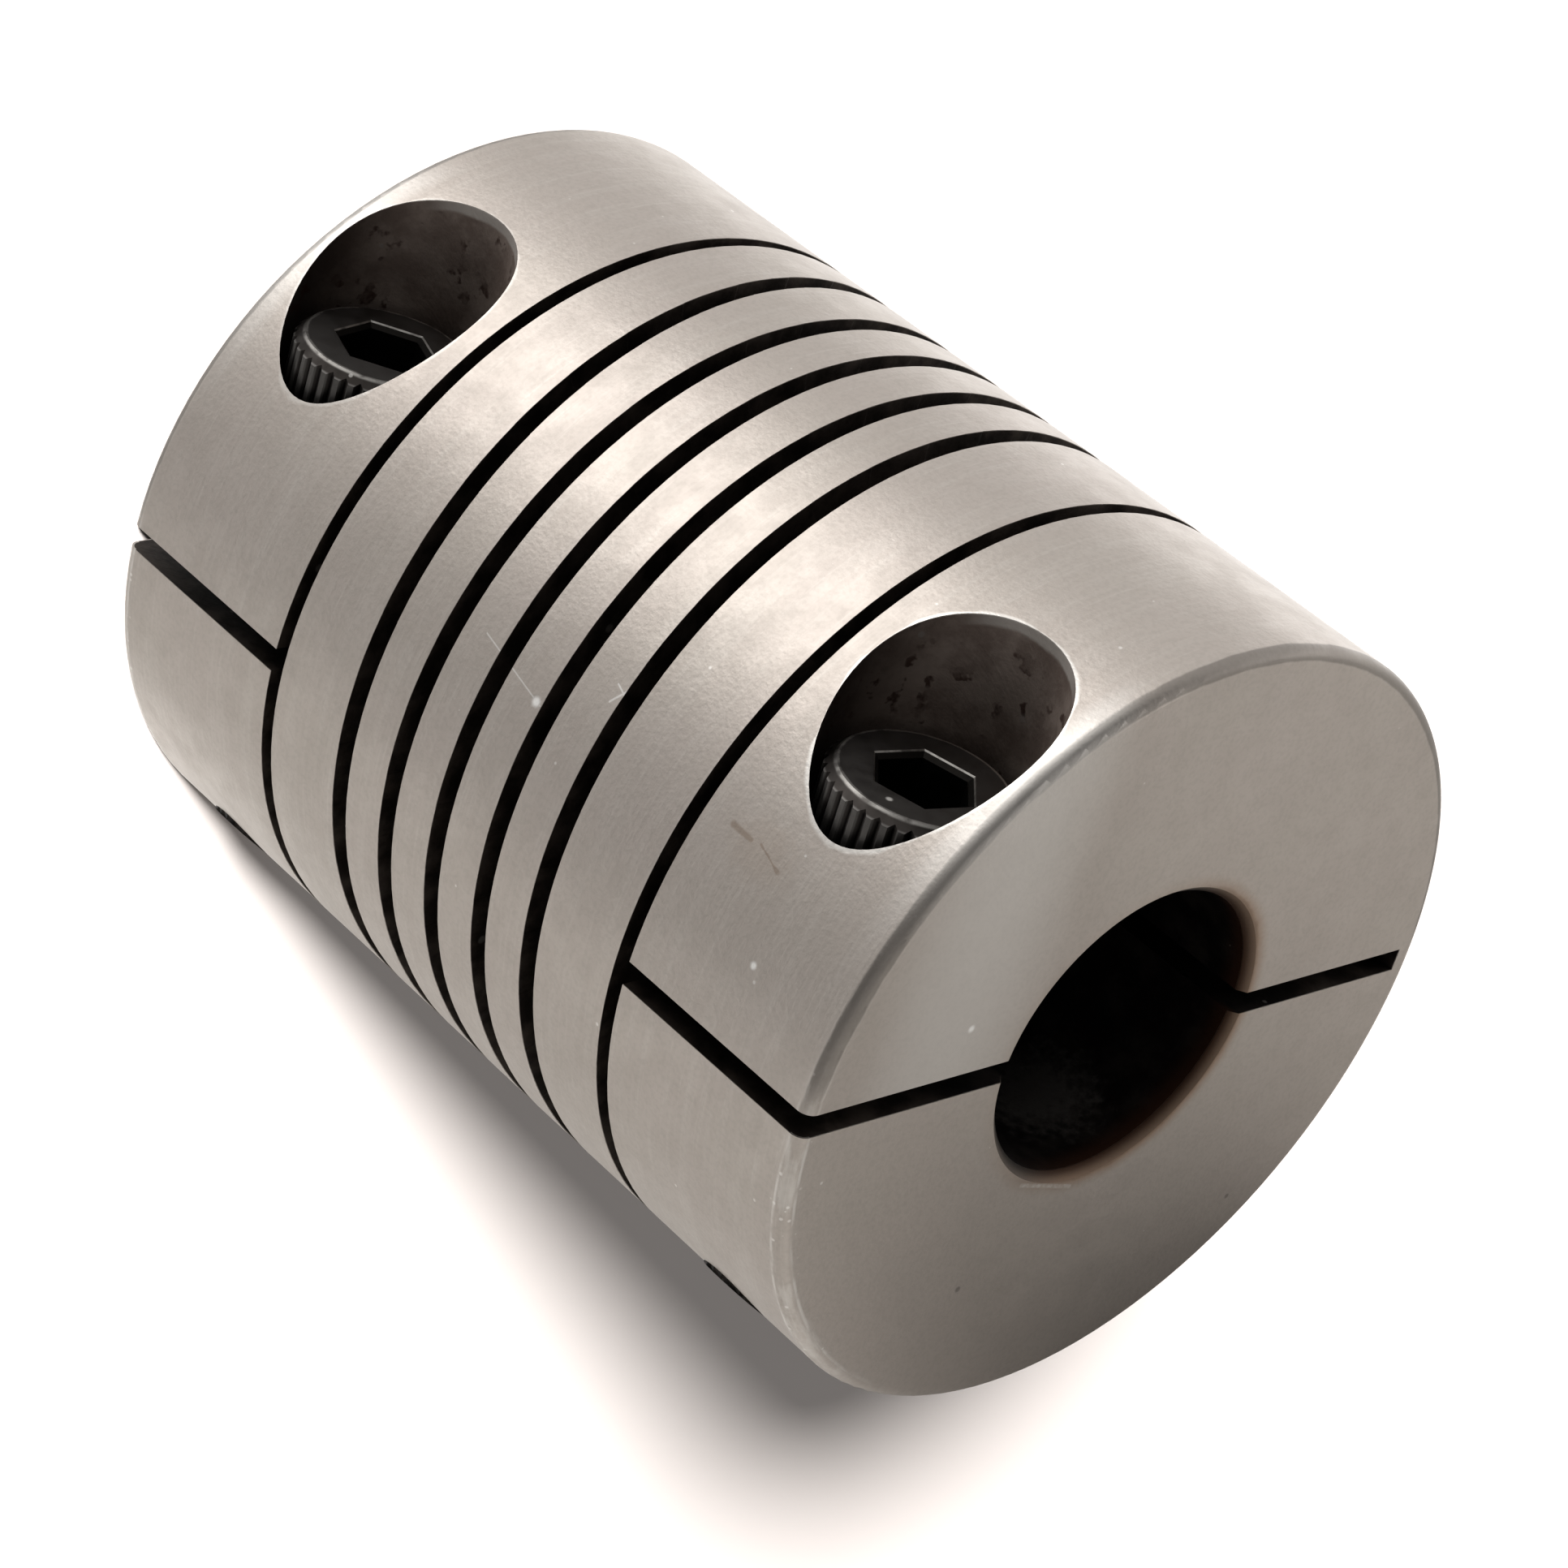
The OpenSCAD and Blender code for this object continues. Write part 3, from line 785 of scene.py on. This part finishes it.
def make_thread(name, tree, screw_height):
    """The ridge of one tapped hole, made a plain mesh that rides with the body."""
    seed = bpy.data.objects.new(name + "_maker", bpy.data.meshes.new(name + "_maker"))
    bpy.context.scene.collection.objects.link(seed)
    modifier = seed.modifiers.new("thread", "NODES")
    modifier.node_group = tree
    sockets = {item.name: item.identifier for item in tree.interface.items_tree if item.in_out == "INPUT"}
    modifier[sockets["Place"]] = (SCREW_OFFSET, 0.0, screw_height)
    modifier[sockets["Material"]] = THREADED
    bpy.context.view_layer.update()
    mesh = bpy.data.meshes.new_from_object(seed.evaluated_get(bpy.context.evaluated_depsgraph_get()))
    bpy.data.objects.remove(seed, do_unlink=True)
    mesh.name = name
    thread = bpy.data.objects.new(name, mesh)
    bpy.context.scene.collection.objects.link(thread)
    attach(thread, "root")


THREAD_TREE = make_thread_tree()
make_thread("lower_hole_thread", THREAD_TREE, SCREW_FROM_END)
make_thread("upper_hole_thread", THREAD_TREE, BODY_LEN - SCREW_FROM_END)


# Light, floor and camera

FLOOR_COLOUR = (0.285, 0.262, 0.249, 1.0)
FLOOR_HALF = 4.0
# Azimuth, elevation and spread in degrees
FLOOR_LIGHT_SIDE = (-48.0, 28.0)
FLOOR_LIGHT_SPREAD = 8.5
FLOOR_LIGHT_STRENGTH = 28.0

# Up in the room where the coupling was photographed lying on its side, and across it
ROOM_UP = Vector((0.345, -0.939, 0.0)).normalized()
ROOM_ACROSS = Vector((-ROOM_UP.y, ROOM_UP.x, 0.0))

# The card's white, its painted shade in front of the end face and its painted contact shadow
CARD_COLOUR = (0.90, 0.895, 0.88, 1.0)
CARD_PAINTED_SHADE = (0.71, 0.70, 0.68, 1.0)
CARD_PAINTED_SHADOW = (0.36, 0.355, 0.345, 1.0)
CARD_GAP = 0.05 * MM
# Corners of the card in millimetres, across the room and along the coupling's axis
CARD_OUTLINE = ((-14, -100), (160, -100), (160, 200), (-100, 200), (-100, 22), (-14, 22))
CARD_CONTACT_ACROSS = -1.5 * MM

# Strengths of the room's light, with centres, radii and softness in degrees
ROOM_LIGHT = 0.83
DIM_LIGHT = 0.15
DIM_SIDE = (Vector((1.0, 0.0, 0.12)), 32.0, 22.0)
DARK_LIGHT = 0.04
DARK_CEILING = (Vector((0.15, -0.47, 0.87)), 33.0, 14.0)
WINDOW_LIGHT = 2.45
WINDOW = (Vector((0.265, -0.79, -0.562)), 20.0, 11.0)
TABLE_LIGHT = 0.66
TABLE_WINDOW_SIDE = 1.95


def make_sheet(name, corners, colour):
    """A large flat sheet of the studio, with a matte plain finish."""
    mesh = bpy.data.meshes.new(name)
    mesh.from_pydata(corners, [], [tuple(range(len(corners)))])
    sheet = bpy.data.objects.new(name, mesh)
    bpy.context.scene.collection.objects.link(sheet)
    material = bpy.data.materials.new(name)
    material.use_nodes = True
    shader = material.node_tree.nodes["Principled BSDF"]
    shader.inputs["Base Color"].default_value = colour
    shader.inputs["Roughness"].default_value = 1.0
    shader.inputs["Specular IOR Level"].default_value = 0.0
    sheet.data.materials.append(material)
    return sheet


def make_floor():
    """A plain pale floor under the end face that the coupling stands on."""
    half = FLOOR_HALF
    floor = make_sheet("pale_floor", [(-half, -half, 0), (half, -half, 0), (half, half, 0), (-half, half, 0)],
                       FLOOR_COLOUR)
    floor.visible_glossy = False
    floor.visible_diffuse = False
    floor.visible_shadow = False
    return floor


def make_card():
    """A white card beside the coupling, where its table was in the photograph. Only the metal shows it."""
    below = ROOM_UP * -(BODY_R + CARD_GAP)
    corners = [below + ROOM_ACROSS * (side * MM) + Vector((0.0, 0.0, along * MM))
               for side, along in CARD_OUTLINE]
    card = make_sheet("white_card", corners, CARD_COLOUR)
    tree = card.data.materials[0].node_tree
    shader = tree.nodes["Principled BSDF"]
    place = add(tree, "ShaderNodeTexCoord").outputs["Object"]
    height = split_axes(tree, place)["Z"]
    # Painted shade on the card in front of the end face
    before_face = ramp(tree, height, BODY_LEN - 10.0 * MM, BODY_LEN + 4.0 * MM)
    shade = blend_colour(tree, before_face, CARD_COLOUR, CARD_PAINTED_SHADE)
    # Painted contact shadow, darkest where the end face met the table
    contact = tuple(below + ROOM_ACROSS * CARD_CONTACT_ACROSS + Vector((0.0, 0.0, BODY_LEN)))
    near = ramp(tree, vector_calc(tree, "DISTANCE", place, contact), 2.0 * MM, 9.5 * MM, 1.0, 0.0)
    feed(tree, shader.inputs["Base Color"], blend_colour(tree, near, shade, CARD_PAINTED_SHADOW))
    # Painted light: a glowing patch in front of the part's foot
    across = vector_calc(tree, "DOT_PRODUCT", place, tuple(ROOM_ACROSS))
    lit = all_of(tree, band(tree, across, 9.0 * MM, 17.0 * MM, 4.0 * MM),
                 ramp(tree, height, -10.0 * MM, 2.0 * MM, 0.95, 0.35))
    shader.inputs["Emission Color"].default_value = CARD_COLOUR
    feed(tree, shader.inputs["Emission Strength"], lit)
    card.visible_camera = False
    card.visible_diffuse = False
    card.visible_shadow = False
    card.visible_transmission = False


def direction(azimuth, elevation):
    a, e = math.radians(azimuth), math.radians(elevation)
    return Vector((math.cos(e) * math.cos(a), math.cos(e) * math.sin(a), math.sin(e)))


def make_floor_light(floor):
    """A lamp that lights the floor alone, for the coupling's soft shadow."""
    lamp = bpy.data.lights.new("floor_light", "SUN")
    lamp.energy = FLOOR_LIGHT_STRENGTH
    lamp.angle = math.radians(FLOOR_LIGHT_SPREAD)
    light = bpy.data.objects.new("floor_light", lamp)
    light.rotation_euler = direction(*FLOOR_LIGHT_SIDE).to_track_quat("Z", "Y").to_euler()
    bpy.context.scene.collection.objects.link(light)
    only_floor = bpy.data.collections.new("lit_by_floor_light")
    only_floor.objects.link(floor)
    light.light_linking.receiver_collection = only_floor


def soft_spot(tree, looking, centre, radius_deg, soft_deg):
    """One towards a direction, falling to zero round it."""
    facing = vector_calc(tree, "DOT_PRODUCT", looking, tuple(centre.normalized()))
    outer = math.cos(math.radians(radius_deg + soft_deg))
    inner = math.cos(math.radians(max(radius_deg - soft_deg, 0.0)))
    return ramp(tree, facing, outer, inner)


def make_world():
    """A plain room: white table light from below, one soft window, dimmer where the camera stands."""
    world = bpy.data.worlds.new("studio")
    bpy.context.scene.world = world
    world.use_nodes = True
    tree = world.node_tree
    backdrop = tree.nodes["Background"]
    looking = add(tree, "ShaderNodeTexCoord").outputs["Generated"]
    above = vector_calc(tree, "DOT_PRODUCT", looking, tuple(ROOM_UP))
    across = vector_calc(tree, "DOT_PRODUCT", looking, tuple(ROOM_ACROSS))
    room = blend_value(tree, soft_spot(tree, looking, *DIM_SIDE), ROOM_LIGHT, DIM_LIGHT)
    room = blend_value(tree, soft_spot(tree, looking, *DARK_CEILING), room, DARK_LIGHT)
    table = ramp(tree, across, -0.9, -0.25, TABLE_WINDOW_SIDE, TABLE_LIGHT)
    light = blend_value(tree, ramp(tree, above, -0.1, 0.1, 1.0, 0.0), room, table)
    window = calc(tree, "MULTIPLY", soft_spot(tree, looking, *WINDOW), WINDOW_LIGHT)
    light = calc(tree, "ADD", light, window)
    seen_directly = add(tree, "ShaderNodeLightPath").outputs["Is Camera Ray"]
    feed(tree, backdrop.inputs["Strength"], blend_value(tree, seen_directly, light, 1.0))
    backdrop.inputs["Color"].default_value = (1.0, 1.0, 1.0, 1.0)


def make_camera():
    data = bpy.data.cameras.new("photo_camera")
    data.sensor_width = CAMERA_SENSOR_MM
    data.lens = CAMERA_LENS_MM
    data.clip_start = 0.01
    data.clip_end = 20.0
    camera = bpy.data.objects.new("photo_camera", data)
    back = CAMERA_DOWN.cross(CAMERA_RIGHT)
    turn = Matrix((CAMERA_RIGHT, -CAMERA_DOWN, back)).transposed()
    camera.matrix_world = Matrix.Translation(CAMERA_PLACE) @ turn.to_4x4()
    bpy.context.scene.collection.objects.link(camera)
    bpy.context.scene.camera = camera


make_floor_light(make_floor())
make_card()
make_world()
make_camera()
bpy.context.scene.view_settings.view_transform = "Standard"
